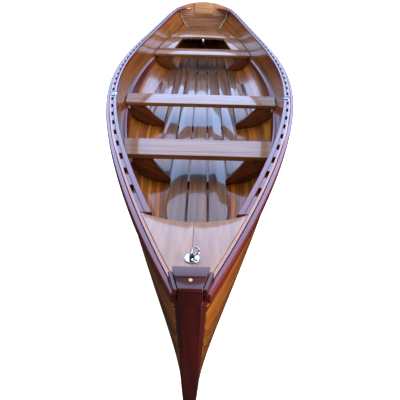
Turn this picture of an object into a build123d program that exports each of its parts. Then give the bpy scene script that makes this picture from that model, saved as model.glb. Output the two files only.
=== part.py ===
from build123d import *
import os
from math import atan, ceil, comb, cos, degrees, hypot, pi, radians, sin, sqrt, tan

# Strip-planked pulling boat with a transom stern, in millimetres.
# Frame: +Z up, +Y aft, +X to port, origin under the middle of the keel.
# Distances called s run aft from the face of the stem.

# ---- hull form ----
LENGTH = 5180.0
BEAM = 1270.0
MID_SHEER = 480.0            # height of the sheer at its lowest point
BOW_RISE = 181.0             # how much higher the sheer is at the stem
STERN_RISE = 76.0            # and at the transom
LOW_POINT = 0.57             # where the sheer is lowest, as a share of the length
STEM_DEPTH = 30.0            # fore-and-aft depth of the stem ahead of the planks
FOREFOOT_RADIUS = 300.0
STEM_TOP_WIDTH = 46.0        # across the stem's face at the sheer
STEM_BACK_WIDTH = 72.0       # across its back there, where the planks land
KEEL_WIDTH = 30.0
KEEL_DEPTH = 30.0
TUCK_START = 0.82            # where the planking begins to rise to the transom
TUCK_RISE = 110.0
TRANSOM_RAKE = 12.0          # degrees
PLANK = 8.0
STRIP = 30.0                 # width of one cedar strip
SHEER_STRAKE = 62.0
FEATURE_STRIP = 8.0
LOWER_STRAKES = 4
SCARF = 0.2                  # hairline joint between two lengths of a strake or rail
RAIL_LENGTHS = 9             # lengths that each rail is made up from
SEAM = 0.7                   # glue line between neighbouring planks
FOREFOOT_STEPS = 12          # sections round the forefoot
STATION_SPACING = 260.0      # between the sections that shape the planks amidships
STATION_GROWTH = 1.35        # how fast the spacing grows to that behind the forefoot

# ---- gunwale ----
OUTWALE_WIDTH = 17.0
OUTWALE_START = 12.0
OUTWALE_DEPTH = 28.0
OUTWALE_HOLLOW = 6.0         # most that its inner face is hollowed where the planking bulges
SLOT_WIDTH = 10.0
SLOT_LENGTH = 50.0
SLOT_PITCH = 131.0
FIRST_SLOT = 462.0           # centre of the first slot, measured along the rail
SLOTS_AHEAD_OF_OARLOCK = 9
INWALE_START = 304.0         # just behind the deck's corner
INWALE_WIDTH = 18.0
INWALE_DEPTH = 24.0

# ---- bow ----
HEAD_RISE = 20.0             # stem head above the sheer
HEAD_STEP = 1.5              # how much lower its fore part is, where it continues the stem
HEAD_BEVEL = 3.0
HEAD_LENGTH = 58.0
HEAD_SPREAD = 0.26           # how fast each side of the head widens, going aft
HEAD_JOINT = 24.0            # joint below the sheer, between head and stem
CHEEK_THICKNESS = 9.0
CHEEK_LENGTH = 57.0
CHEEK_HEIGHT = 17.0
CHEEK_ROUND = 9.0
DECK_THICKNESS = 10.0
DECK_CORNER = 300.0
DECK_SEAM = 0.5
DECK_HOLLOW = 42.0           # how far the deck's after edge is hollowed
DECK_START = HEAD_LENGTH + 2.0
DECK_BEAM_WIDTH = 26.0
DECK_BEAM_DEPTH = 30.0
DECK_BEAM_SETBACK = 8.0      # ahead of the hollow in the deck's edge
EYE_PLACE = 112.0
EYE_TURN = 40.0              # degrees about the vertical
EYE_FLANGE_RADIUS = 17.0
EYE_FLANGE_THICKNESS = 3.0
EYE_LUG_THICKNESS = 4.0
EYE_LUG_RADIUS = 6.0
EYE_HOLE_RADIUS = 2.4
EYE_HOLE_HEIGHT = 8.5        # above the flange
RING_RADIUS = 9.5            # to the middle of the wire
RING_WIRE_RADIUS = 1.9
RING_LEAN = 60.0             # degrees from upright, as it lies

# ---- inside ----
BEDDING = 1.2                # gap left for bedding between pieces
KEELSON_WIDTH = 44.0
KEELSON_START = 430.0
KEELSON_END = 4250.0
APRON_DEPTH = 45.0
APRON_FOOT = 340.0           # height of the apron's lower end
FLOOR_TOP = 84.0
BOARD_THICKNESS = 14.0
FLOOR_SPREAD = 0.792         # outer edge of the outermost board, as a share of the half beam
BOARD_GAP = 11.0
BOARD_START = 800.0          # front end of the middle boards
BOARD_END = 4380.0
BOARD_PAIRS = 4
BOARD_EDGE_GAP = 6.0
NARROWEST_BOARD = 28.0
SEAT_TOP = 250.0
SEAT_THICKNESS = 29.0
SEAT_END_GAP = 1.5
THWART_WIDTH = 208.0
FORWARD_THWART = 1317.0      # front edge of each seat
MIDDLE_THWART = 2144.0
BENCH_FRONT = 3704.0
BENCH_BAR = 236.0
BENCH_OPENING_AFT = 4480.0
BENCH_OPENING_HALF = 340.0   # half width of the opening at its front
BENCH_OPENING_HALF_AFT = 255.0
BENCH_LIP = 26.0             # hollow of the lip at the after side of the opening
BENCH_SLOPE = 2.6            # degrees, rising aft
RISER_THICKNESS = 20.0
RISER_DEPTH = 36.0
RISER_START = 420.0
RISER_END = 5070.0
RISER_BOW_RISE = 75.0
FRAME_THICKNESS = 28.0
FRAME_SETBACK = 3.0
FRAME_TOP_WIDTH = 112.0
FRAME_FOOT_GAP = 3.0
FRAME_FOOT_RISE = 12.0
FRAME_HOLLOW = 0.05          # hollow of the inner edge, as a share of its length

# ---- stern ----
TRANSOM_THICKNESS = 22.0
TRANSOM_CROWN = 62.0
PAD_WIDTH = 262.0
PAD_HEIGHT = 140.0
PAD_THICKNESS = 18.0
PAD_TOP_GAP = 10.0
KNEE_ARM = 150.0             # of a knee, along the rail
KNEE_REACH = 0.73            # of a knee across the transom, as a share of the way to the pad
KNEE_HOLLOW = 0.30           # of a knee's inner edge, as a share of the way to the rail corner
KNEE_THICKNESS = 22.0
SKEG_END_GAP = 140.0         # from the skeg's after end to the end of the boat
SKEG_END = LENGTH - SKEG_END_GAP
SKEG_SETBACK = 104.0         # from the start of the tuck to the skeg's tip
KEEL_GAP = 0.4               # between keel, skeg and planks

# ---- oarlock sockets ----
SOCKET_LENGTH = 62.0
SOCKET_WIDTH = 34.0
SOCKET_THICKNESS = 3.0
SOCKET_RADIUS = 8.0
SOCKET_BORE = 6.35
SOCKET_DEPTH = 40.0
SOCKET_INBOARD = 21.0        # from the outside of the planking to the bore
SOCKET_CLEARANCE = 0.2


# ================= hull form =================

def fair(controls, share):
    """A fair curve from a few control values, at a share of its length."""
    n = len(controls) - 1
    return sum(comb(n, i) * share**i * (1 - share)**(n - i) * c for i, c in enumerate(controls))


def along(s):
    return (s - STEM_DEPTH) / (LENGTH - STEM_DEPTH)


def stem_half(z, top_width):
    """Half width of the stem at a height: as narrow as the keel below, wide at the head."""
    share = max(z - KEEL_DEPTH, 0) / (MID_SHEER + BOW_RISE - KEEL_DEPTH)
    return (KEEL_WIDTH + (top_width - KEEL_WIDTH) * share) / 2


def sheer_height(s):
    low = LOW_POINT * LENGTH
    if s < low:
        return MID_SHEER + BOW_RISE * ((low - s) / low)**2
    return MID_SHEER + STERN_RISE * ((s - low) / (LENGTH - low))**2


def sheer_half(s):
    """Half breadth to the outside of the planking at the sheer."""
    hull_half = BEAM / 2 - OUTWALE_WIDTH
    shares = [0.698, 0.948, 1.465, 0.661, 0.960, 0.563]
    controls = [STEM_BACK_WIDTH / 2] + [hull_half * c for c in shares]
    return fair(controls, along(s))


def rabbet_height(s):
    """Height of the lower edge of the planking: up the stem, along the keel, up to the tuck."""
    radius = FOREFOOT_RADIUS - STEM_DEPTH
    height = KEEL_DEPTH
    if s < STEM_DEPTH + radius:
        height += radius - sqrt(radius**2 - (STEM_DEPTH + radius - s)**2)
    if s > TUCK_START * LENGTH:
        share = (s / LENGTH - TUCK_START) / (1 - TUCK_START)
        height += TUCK_RISE * share**2
    return height


def transom_top():
    return sheer_height(LENGTH) + TRANSOM_CROWN


def tilt(s):
    """How much a section leans forward at its foot, so that the transom is raked."""
    share = max(0.0, (s / LENGTH - 0.75) / 0.25)
    return tan(radians(TRANSOM_RAKE)) * share * share * (3 - 2 * share)


def place(s, x, z):
    """A point of the section at s, leaning with it."""
    return Vector(x, s - LENGTH / 2 + tilt(s) * (z - transom_top()), z)


def section_curve(s):
    """Outside of the planking from the sheer down to the rabbet, as close points (x, z)."""
    share = along(s)
    bottom = rabbet_height(s)
    top = sheer_height(s)
    half = sheer_half(s)
    foot = stem_half(bottom, STEM_BACK_WIDTH) if s < LENGTH / 2 else KEEL_WIDTH / 2
    rise = top - bottom
    grow = half - foot
    points = [(foot, bottom),
              (foot + grow * fair([0.17, 1.23, 1.02, 1.00, 1.35, 0.20], share),
               bottom + rise * fair([0.20, 0.0, 0.0, 0.0, 0.0, 0.12], share)),
              (foot + grow * fair([1.02, 0.74, 1.05, 1.05, 1.18, 0.98], share),
               bottom + rise * fair([0.61, -0.04, 0.14, 0.14, 0.06, 0.38], share)),
              (half, top)]
    steps = 80
    curve = []
    for i in range(steps + 1):
        curve.append((fair([p[0] for p in points], 1 - i / steps),
                      fair([p[1] for p in points], 1 - i / steps)))
    return curve


def walk(curve, distance):
    """The point at a distance along a curve, with the direction there."""
    left = distance
    for (x0, z0), (x1, z1) in zip(curve, curve[1:]):
        step = hypot(x1 - x0, z1 - z0)
        if left <= step:
            share = left / step
            return (x0 + (x1 - x0) * share, z0 + (z1 - z0) * share,
                    (x1 - x0) / step, (z1 - z0) / step)
        left -= step
    return (x1, z1, (x1 - x0) / step, (z1 - z0) / step)


def girth(curve):
    return sum(hypot(x1 - x0, z1 - z0) for (x0, z0), (x1, z1) in zip(curve, curve[1:]))


def strake_edges(curve):
    """Girth distances from the sheer at which each strake starts and ends."""
    feature = SHEER_STRAKE + FEATURE_STRIP
    edges = [0.0, SHEER_STRAKE, feature]
    rest = girth(curve) - feature
    for i in range(LOWER_STRAKES):
        edges.append(feature + rest * (i + 1) / LOWER_STRAKES)
    return edges


def strips_in(strake):
    """How many strips make up a strake, counted from the sheer."""
    if strake == 0:
        return round(SHEER_STRAKE / STRIP)
    if strake == 1:
        return 1
    middle = section_curve(LENGTH / 2)
    width = strake_edges(middle)[-1] - strake_edges(middle)[-2]
    return round(width / STRIP)


def strake_points(s, strake, inside):
    """Corner points of a strake's strips on one side of the plank, top to bottom."""
    curve = section_curve(s)
    edges = strake_edges(curve)
    strips = strips_in(strake)
    top = edges[strake] + (SEAM / 2 if strake else 0.0)
    bottom = edges[strake + 1] - SEAM / 2
    points = []
    for i in range(strips + 1):
        x, z, dx, dz = walk(curve, top + (bottom - top) * i / strips)
        if inside and strake == 0 and i == 0:
            x += PLANK / dz      # the top edge is planed level
        elif inside:
            x += dz * PLANK
            z -= dx * PLANK
        points.append((x, z))
    return points


def inner_skin(s):
    """The inside of the planking as corner points from the sheer to the keel."""
    points = []
    for strake in range(2 + LOWER_STRAKES):
        points += strake_points(s, strake, True)
    return points


def half_inside(s, z):
    """Half breadth inside the planking at a height, allowing for the lean of the sections."""
    station = s
    for _ in range(4):
        station = s - tilt(station) * (z - transom_top())
    skin = inner_skin(min(station, LENGTH))
    best = 0.0
    for (x0, z0), (x1, z1) in zip(skin, skin[1:]):
        if z1 <= z <= z0 and z0 > z1:
            x = x1 + (x0 - x1) * (z - z1) / (z0 - z1)
            best = max(best, x)
    return best


def height_inside(s, x):
    """Height of the inside of the planking at a distance from the middle."""
    skin = inner_skin(s)
    for (x0, z0), (x1, z1) in zip(skin, skin[1:]):
        if x1 <= x <= x0:
            return z1 + (z0 - z1) * (x - x1) / (x0 - x1)
    return skin[-1][1]

def planking_stations():
    """Stations for the planks: close together round the forefoot, then ever further apart."""
    radius = FOREFOOT_RADIUS - STEM_DEPTH
    turns = [pi / 2 * i / FOREFOOT_STEPS for i in range(FOREFOOT_STEPS + 1)]
    stations = [STEM_DEPTH + max(radius * (1 - cos(turn)), SEAM / 2) for turn in turns]
    reach = FOREFOOT_RADIUS
    step = radius * pi / 2 / FOREFOOT_STEPS
    while step < STATION_SPACING:
        step = min(step * STATION_GROWTH, STATION_SPACING)
        reach += step
        stations.append(reach)
    count = ceil((LENGTH - reach) / STATION_SPACING)
    return stations + [reach + (LENGTH - reach) * (i + 1) / count for i in range(count)]


STATIONS = planking_stations()


# ================= building blocks =================

def polygon(points):
    return make_face(Polyline(*points, close=True))


def loft_through(rings, straight=False):
    """A solid through closed outlines: bent fair, or in straight runs between them."""
    return loft([polygon(ring) for ring in rings], ruled=straight)


def port_and_starboard(name, solid):
    """Write a piece and its mirror image on the other side."""
    write(name + "_port", solid)
    write(name + "_starboard", mirror(solid, Plane.YZ))


def lengths_port_and_starboard(name, solids):
    """Write a strake or rail made up from several lengths, and its mirror image."""
    write(name + "_port", Compound(children=solids))
    write(name + "_starboard", Compound(children=[mirror(solid, Plane.YZ) for solid in solids]))


def in_lengths(ring_at, stations, joints, straight=False):
    """Loft a bent piece in lengths that meet at the given joints."""
    solids = []
    for start, end in zip(joints, joints[1:]):
        near = start + (SCARF if start > joints[0] else 0.0)
        run = [near] + [s for s in stations if start < s < end] + [end]
        solids.append(loft_through([ring_at(s) for s in run], straight))
    return solids


def write(name, shape):
    os.makedirs("parts", exist_ok=True)
    shape.label = name
    export_step(shape, f"parts/{name}.step")


def prism_x(outline, half_width):
    """A side profile of (s, z) points, as thick as twice the half width about the middle."""
    points = [(0, s - LENGTH / 2, z) for s, z in outline]
    return extrude(polygon(points), half_width, dir=(1, 0, 0), both=True)


# ================= planking =================

def strake_joints():
    """Where the lengths of a strake meet: round the forefoot, then at every second station."""
    return [STATIONS[0]] + STATIONS[FOREFOOT_STEPS:-2:2] + [STATIONS[-1]]


def strake_lengths(strake):
    def ring_at(s):
        outer = strake_points(s, strake, False)
        inner = strake_points(s, strake, True)
        return [place(s, x, z) for x, z in outer + inner[::-1]]

    return in_lengths(ring_at, STATIONS, strake_joints())


def planking():
    lengths_port_and_starboard("sheer_strake", strake_lengths(0))
    lengths_port_and_starboard("feature_strip", strake_lengths(1))
    for i in range(LOWER_STRAKES):
        lengths_port_and_starboard(f"planking_{i + 1}", strake_lengths(2 + i))


# ================= keel and stem =================

def outer_stem():
    """A tapered stem that rounds into the keel, lofted down its own curve."""
    joint = sheer_height(0) - HEAD_JOINT
    centre = FOREFOOT_RADIUS
    rings = []
    for z in (joint, centre):
        rings.append((0.0, z, STEM_DEPTH, z))
    inner = (centre - STEM_DEPTH + SEAM) / cos(pi / 4 / FOREFOOT_STEPS)
    for i in range(FOREFOOT_STEPS):
        turn = pi / 2 * (i + 1) / FOREFOOT_STEPS
        c = cos(turn)
        d = sin(turn)
        rings.append((centre - centre * c, centre - centre * d, centre - inner * c, centre - inner * d))
    faces = []
    for s0, z0, s1, z1 in rings:
        front = stem_half(z0, STEM_TOP_WIDTH)
        back = stem_half(z1, STEM_BACK_WIDTH)
        faces.append([(-front, s0 - LENGTH / 2, z0), (front, s0 - LENGTH / 2, z0),
                      (back, s1 - LENGTH / 2, z1), (-back, s1 - LENGTH / 2, z1)])
    write("outer_stem", loft_through(faces, straight=True))


def inner_stem():
    """The apron behind the stem, filling the space between the first of the planks."""
    front = STEM_DEPTH + 1
    back = front + APRON_DEPTH
    high = sheer_height(0) - HEAD_JOINT
    steps = 3
    faces = []
    for z in [high + (APRON_FOOT - high) * i / steps for i in range(steps + 1)]:
        a = half_inside(front, z) - BEDDING
        b = half_inside(back, z) - BEDDING
        faces.append([(-a, front - LENGTH / 2, z), (a, front - LENGTH / 2, z),
                      (b, back - LENGTH / 2, z), (-b, back - LENGTH / 2, z)])
    write("inner_stem", loft_through(faces, straight=True))


def keel():
    start = FOREFOOT_RADIUS + 1
    top = KEEL_DEPTH - KEEL_GAP
    side = [(start, 0), (SKEG_END, 0), (SKEG_END, top), (start, top)]
    write("keel", prism_x(side, KEEL_WIDTH / 2 - KEEL_GAP))


def skeg():
    """The deadwood between the keel and the planking as it rises to the transom."""
    start = TUCK_START * LENGTH + SKEG_SETBACK
    steps = 6
    outline = [(SKEG_END, KEEL_DEPTH), (start, KEEL_DEPTH)]
    for i in range(steps + 1):
        s = start + (LENGTH - start) * i / steps
        top = rabbet_height(s) - BEDDING
        outline.append((s - tilt(s) * (transom_top() - top), top))
    write("skeg", prism_x(outline, KEEL_WIDTH / 2 - KEEL_GAP))


def keelson():
    """An inner keel whose sloping faces lie on the garboards, and which carries the floor."""
    half = KEELSON_WIDTH / 2
    top = FLOOR_TOP - BOARD_THICKNESS
    steps = 12
    faces = []
    for s in [KEELSON_START + (KEELSON_END - KEELSON_START) * i / steps for i in range(steps + 1)]:
        low = height_inside(s, half) + BEDDING
        middle = height_inside(s, half / 3) + BEDDING
        y = s - LENGTH / 2
        faces.append([(-half, y, low), (-half / 3, y, middle), (half / 3, y, middle),
                      (half, y, low), (half, y, top), (-half, y, top)])
    write("keelson", loft_through(faces, straight=True))


# ================= bow =================

def stem_head():
    """The block on top of the stem, stepped where it meets it, with sides that widen going aft."""
    sheer = sheer_height(0)
    seat = sheer + 0.5
    joint = sheer - HEAD_JOINT + 0.3
    top = sheer + HEAD_RISE
    step = top - HEAD_STEP
    profile = [(0, joint), (0, step - HEAD_BEVEL), (HEAD_BEVEL, step), (STEM_DEPTH, step), (STEM_DEPTH, top),
               (HEAD_LENGTH, top), (HEAD_LENGTH, seat), (STEM_DEPTH, seat), (STEM_DEPTH, joint)]
    front = STEM_TOP_WIDTH / 2
    back = front + HEAD_SPREAD * HEAD_LENGTH
    plan = polygon([(-front, -LENGTH / 2, 0), (front, -LENGTH / 2, 0),
                    (back, HEAD_LENGTH - LENGTH / 2, 0), (-back, HEAD_LENGTH - LENGTH / 2, 0)])
    block = prism_x(profile, back) & extrude(plan, sheer + 2 * HEAD_RISE)
    write("stem_head", block)


def stem_cheeks():
    """A rail each side of the stem head, standing on the planks, rounded at its after end."""
    start = 2.0
    ahead = sheer_height(start) + BEDDING
    behind = sheer_height(start + CHEEK_LENGTH) + BEDDING
    base = Polyline((0, 0, ahead + CHEEK_HEIGHT), (0, 0, ahead), (0, CHEEK_LENGTH, behind),
                    (0, CHEEK_LENGTH, behind + CHEEK_HEIGHT), close=True)
    side = extrude(make_face(base), CHEEK_THICKNESS, dir=(1, 0, 0))
    after_top = side.edges().filter_by(Axis.X).sort_by(Axis.Y)[-2:].sort_by(Axis.Z)[-1]
    side = fillet(after_top, CHEEK_ROUND)
    side = side.rotate(Axis.Z, -degrees(atan(HEAD_SPREAD)))
    inner = STEM_TOP_WIDTH / 2 + HEAD_SPREAD * start + 0.4
    port_and_starboard("stem_cheek", side.translate((inner, start - LENGTH / 2, 0)))


def deck_slope():
    return (sheer_height(DECK_START) - sheer_height(DECK_CORNER)) / (DECK_CORNER - DECK_START)


def deck_height(s):
    """Top of the foredeck, flush with the gunwale at both ends of the deck."""
    return sheer_height(DECK_START) - deck_slope() * (s - DECK_START)


def foredeck():
    """Two matched boards with a hollowed after edge, let in flush between the planks."""
    def edge(s):
        return half_inside(s, deck_height(s) - DECK_THICKNESS) - BEDDING

    def point(x, s):
        return (x, s - LENGTH / 2, deck_height(s))

    middle = DECK_CORNER - DECK_HOLLOW
    share = 0.62
    corner = edge(DECK_CORNER)
    bend = point(corner * share, middle + DECK_HOLLOW * share**2)
    hollow = ThreePointArc(point(DECK_SEAM / 2, middle), bend, point(corner, DECK_CORNER))
    steps = 3
    stations = [DECK_CORNER + (DECK_START - DECK_CORNER) * i / steps for i in range(steps + 1)]
    side = Spline([point(edge(s), s) for s in stations])
    ends = Polyline(point(edge(DECK_START), DECK_START), point(DECK_SEAM / 2, DECK_START),
                    point(DECK_SEAM / 2, middle))
    board = extrude(make_face(Wire([hollow, side] + ends.edges())), DECK_THICKNESS, dir=(0, 0, -1))
    port_and_starboard("foredeck", board)


def deck_beam():
    place_s = DECK_CORNER - DECK_HOLLOW - DECK_BEAM_WIDTH - DECK_BEAM_SETBACK
    top = deck_height(place_s + DECK_BEAM_WIDTH) - DECK_THICKNESS - BEDDING
    half_top = half_inside(place_s, top) - BEDDING
    half_low = half_inside(place_s, top - DECK_BEAM_DEPTH) - BEDDING
    y = place_s - LENGTH / 2
    face = polygon([(-half_top, y, top), (half_top, y, top),
                    (half_low, y, top - DECK_BEAM_DEPTH), (-half_low, y, top - DECK_BEAM_DEPTH)])
    write("deck_beam", extrude(face, DECK_BEAM_WIDTH, dir=(0, 1, 0)))


def on_deck(solid):
    """Set a fitting made about the origin onto the foredeck, turned and sloped with it."""
    turned = solid.rotate(Axis.Z, EYE_TURN)
    sloped = turned.rotate(Axis.X, -degrees(atan(deck_slope())))
    return sloped.translate((0, EYE_PLACE - LENGTH / 2, deck_height(EYE_PLACE) + 0.1))


def bow_eye():
    """A round flange with an upright lug, pierced for the ring."""
    flange = extrude(Circle(EYE_FLANGE_RADIUS), EYE_FLANGE_THICKNESS)
    flange = fillet(flange.edges().group_by(Axis.Z)[-1], EYE_FLANGE_THICKNESS / 2)
    hole_height = EYE_FLANGE_THICKNESS + EYE_HOLE_HEIGHT
    outline = Plane.XZ * (Pos(0, hole_height) * Circle(EYE_LUG_RADIUS))
    shank = Plane.XZ * (Pos(0, hole_height / 2 + 0.5) * Rectangle(2 * EYE_LUG_RADIUS, hole_height - 1))
    lug = extrude(outline + shank, EYE_LUG_THICKNESS / 2, both=True)
    hole = Plane.XZ * (Pos(0, hole_height) * Circle(EYE_HOLE_RADIUS))
    eye = flange + lug - extrude(hole, EYE_LUG_THICKNESS, both=True)
    write("bow_eye", on_deck(eye))


def bow_ring():
    """A free ring through the lug, leaning over as it lies."""
    hole_height = EYE_FLANGE_THICKNESS + EYE_HOLE_HEIGHT
    ring = Torus(RING_RADIUS, RING_WIRE_RADIUS).rotate(Axis.X, 90).rotate(Axis.Z, 90)
    ring = ring.translate((0, 0, RING_RADIUS)).rotate(Axis.Y, RING_LEAN)
    write("bow_ring", on_deck(ring.translate((0, 0, hole_height))))


# ================= gunwale =================

def rail_point(s, inward, drop):
    """A point by its distance inboard of the planking's outside and below the sheer."""
    step = 1.0
    slope = (sheer_half(s + step) - sheer_half(s - step)) / (2 * step)
    norm = hypot(slope, 1)
    height = sheer_height(s)
    lean = tilt(s) * (height - transom_top())
    return (sheer_half(s) - inward / norm, s - LENGTH / 2 + lean + inward * slope / norm, height - drop)


def plank_inward(s, drop):
    """How far inboard of the sheer the inside of the planking is, at a drop below it."""
    slope = sheer_half(s + 1) - sheer_half(s)
    height = sheer_height(s)
    true_place = s + tilt(s) * (height - transom_top())
    inside = half_inside(true_place, height - max(drop, 0.1))
    return (sheer_half(s) - inside) / hypot(slope, 1)


def flare(s, drop):
    """How much narrower the planking is at a drop below the sheer; negative where it bulges."""
    x, _, _, _ = walk(section_curve(s), drop)
    return sheer_half(s) - x


def outwale_width(s):
    taper_length = 260
    return OUTWALE_WIDTH - 5 * max(0.0, 1 - s / taper_length)


def outwale_end():
    return LENGTH - 3


def rail_joints(start, end):
    return [start + (end - start) * i / RAIL_LENGTHS for i in range(RAIL_LENGTHS + 1)]


def rail_stations(start, end):
    """Four stations to each length of a rail."""
    count = 4 * RAIL_LENGTHS
    return [start + (end - start) * i / count for i in range(count + 1)]


def outwale():
    def ring_at(s):
        wide = outwale_width(s)
        under = max(flare(max(s, STEM_DEPTH), OUTWALE_DEPTH), -OUTWALE_HOLLOW)
        return [rail_point(s, -BEDDING, 0), rail_point(s, -BEDDING - wide, 0),
                rail_point(s, -BEDDING - wide, OUTWALE_DEPTH),
                rail_point(s, min(under, 0.0) - BEDDING, OUTWALE_DEPTH)]

    ends = (OUTWALE_START, outwale_end())
    lengths_port_and_starboard("outwale", in_lengths(ring_at, rail_stations(*ends), rail_joints(*ends)))


def rail_end():
    """The station where the rails stop, at the inside of the transom."""
    return LENGTH - TRANSOM_THICKNESS / cos(radians(TRANSOM_RAKE)) - 1.5


def rail_distances():
    """Stations and their distances measured along the rail from the stem."""
    step = 5.0
    table = [(0.0, 0.0)]
    s = 0.0
    far = 0.0
    while s < rail_end():
        far += sqrt(step**2 + (sheer_half(s + step) - sheer_half(s))**2
                    + (sheer_height(s + step) - sheer_height(s))**2)
        s += step
        table.append((s, far))
    return table


RAIL_TABLE = rail_distances()


def station_at(distance):
    for (s0, d0), (s1, d1) in zip(RAIL_TABLE, RAIL_TABLE[1:]):
        if d0 <= distance <= d1:
            return s0 + (s1 - s0) * (distance - d0) / (d1 - d0)
    return RAIL_TABLE[-1][0]


def slot_distances():
    """Middles of the slots along the rail; the gap at the oarlock is half a pitch longer."""
    last = RAIL_TABLE[-1][1] - SLOT_PITCH
    middles = []
    i = 0
    while True:
        shift = 0.5 if i >= SLOTS_AHEAD_OF_OARLOCK else 0.0
        middle = FIRST_SLOT + (i + shift) * SLOT_PITCH
        if middle > last:
            return middles
        middles.append(middle)
        i += 1


def oarlock_station():
    return station_at(FIRST_SLOT + (SLOTS_AHEAD_OF_OARLOCK - 0.25) * SLOT_PITCH)


def at_oarlock(solid):
    """Set a fitting made about the origin onto the port rail, square to it."""
    s = oarlock_station()
    turn = atan((sheer_half(s + 1) - sheer_half(s - 1)) / 2)
    pitch = atan((sheer_height(s + 1) - sheer_height(s - 1)) / 2)
    set_square = solid.rotate(Axis.X, degrees(pitch)).rotate(Axis.Z, -degrees(turn))
    return set_square.translate(rail_point(s, SOCKET_INBOARD, 0))


def socket_hole():
    return at_oarlock(Cylinder(SOCKET_RADIUS + SOCKET_CLEARANCE, 3 * SOCKET_DEPTH))


def inwale():
    def ring_at(s):
        near = PLANK + SLOT_WIDTH
        far = near + INWALE_WIDTH
        return [rail_point(s, near, 0), rail_point(s, far, 0),
                rail_point(s, far, INWALE_DEPTH), rail_point(s, near, INWALE_DEPTH)]

    ends = (INWALE_START, rail_end())
    hole = socket_hole()
    lengths = in_lengths(ring_at, rail_stations(*ends), rail_joints(*ends))
    lengths_port_and_starboard("inwale", [length - hole for length in lengths])


def gunwale_spacers():
    """Blocks between the planking and the inwale; the spaces between them are the slots."""
    half = SLOT_LENGTH / 2
    starts = [INWALE_START] + [station_at(d + half) for d in slot_distances()]
    ends = [station_at(d - half) for d in slot_distances()] + [rail_end()]
    blocks = []
    for start, end in zip(starts, ends):
        rings = []
        for s in (start, (start + end) / 2, end):
            outer = plank_inward(s, 0) + BEDDING / 2
            under = max(plank_inward(s, INWALE_DEPTH) + BEDDING / 2, outer)
            inner = PLANK + SLOT_WIDTH - BEDDING / 2
            rings.append([rail_point(s, outer, 0), rail_point(s, inner, 0),
                          rail_point(s, inner, INWALE_DEPTH), rail_point(s, under, INWALE_DEPTH)])
        blocks.append(loft_through(rings) - socket_hole())
    both = blocks + [mirror(block, Plane.YZ) for block in blocks]
    write("gunwale_spacers", Compound(children=both))


def oarlock_sockets():
    """A plate on the gunwale with a tube down through it, bored for the oarlock's pin."""
    plate = extrude(RectangleRounded(SOCKET_WIDTH, SOCKET_LENGTH, SOCKET_WIDTH / 3), SOCKET_THICKNESS)
    tube = extrude(Circle(SOCKET_RADIUS), -SOCKET_DEPTH)
    bore = Cylinder(SOCKET_BORE, 3 * SOCKET_DEPTH)
    port_and_starboard("oarlock_socket", at_oarlock((plate + tube - bore).translate((0, 0, 0.6))))


# ================= inside =================

def riser_top(s):
    """Underside of the seats: level amidships, rising forward and along the stern bench."""
    seat = SEAT_TOP - SEAT_THICKNESS
    if s < FORWARD_THWART:
        return seat + RISER_BOW_RISE * ((FORWARD_THWART - s) / (FORWARD_THWART - RISER_START))**2
    if s > BENCH_FRONT:
        return seat + tan(radians(BENCH_SLOPE)) * (s - BENCH_FRONT)
    return seat


def riser():
    """A stringer bent round the inside of the planking, which carries the seats."""
    def ring_at(s):
        top = riser_top(s) - 0.3
        low = top - RISER_DEPTH
        a = half_inside(s, top) - BEDDING
        b = half_inside(s, low) - BEDDING
        y = s - LENGTH / 2
        return [(a, y, top), (b, y, low), (b - RISER_THICKNESS, y, low), (a - RISER_THICKNESS, y, top)]

    ahead = [RISER_START + (FORWARD_THWART - RISER_START) * i / 6 for i in range(6)]
    amidships = [FORWARD_THWART + (BENCH_FRONT - FORWARD_THWART) * i / 12 for i in range(12)]
    behind = [BENCH_FRONT + (RISER_END - BENCH_FRONT) * i / 6 for i in range(7)]
    stations = ahead + amidships + behind
    lengths_port_and_starboard("riser", in_lengths(ring_at, stations, stations[::3], straight=True))


def bench_height(s):
    return SEAT_TOP + tan(radians(BENCH_SLOPE)) * (s - BENCH_FRONT)


def seat_end(s, top):
    return half_inside(s, top - SEAT_THICKNESS) - SEAT_END_GAP


def thwart(name, front):
    back = front + THWART_WIDTH
    plan = [(seat_end(front, SEAT_TOP), front), (seat_end(back, SEAT_TOP), back)]
    outline = [(x, s - LENGTH / 2, SEAT_TOP) for x, s in plan]
    outline += [(-x, s - LENGTH / 2, SEAT_TOP) for x, s in plan[::-1]]
    board = extrude(polygon(outline), SEAT_THICKNESS, dir=(0, 0, -1))
    long_edges = board.edges().filter_by(Axis.X)
    write(name, fillet(long_edges, 4))


def bench_panel(outline):
    points = [(x, s - LENGTH / 2, bench_height(s)) for x, s in outline]
    return extrude(polygon(points), SEAT_THICKNESS, dir=(0, 0, -1))


def stern_bench():
    """A horseshoe bench: a bar in front, a panel each side and one across the stern."""
    def end(s):
        return seat_end(s, bench_height(s))

    joint = 0.6
    bar_back = BENCH_FRONT + BENCH_BAR
    half = [(end(s), s) for s in (BENCH_FRONT, bar_back)]
    write("bench_bar", bench_panel(half + [(-x, s) for x, s in half[::-1]]))

    side_start = bar_back + joint
    side_end = BENCH_OPENING_AFT
    stations = [side_start + (side_end - side_start) * i / 3 for i in range(4)]
    outer = [(end(s), s) for s in stations]
    side = bench_panel(outer + [(BENCH_OPENING_HALF_AFT, side_end), (BENCH_OPENING_HALF, side_start)])
    port_and_starboard("bench_side", side)

    start = BENCH_OPENING_AFT + joint
    depth = transom_top() - bench_height(LENGTH) + SEAT_THICKNESS
    stop = rail_end() - tan(radians(TRANSOM_RAKE)) * depth
    outer = [(end(s), s) for s in (start, (start + stop) / 2, stop)]
    lip = [(-BENCH_OPENING_HALF_AFT, start)]
    steps = 6
    for i in range(1, steps):
        share = i / steps
        lip.append((-BENCH_OPENING_HALF_AFT * (1 - 2 * share), start + 4 * BENCH_LIP * share * (1 - share)))
    lip.append((BENCH_OPENING_HALF_AFT, start))
    write("bench_after", bench_panel(outer + [(-x, s) for x, s in outer[::-1]] + lip))


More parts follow.
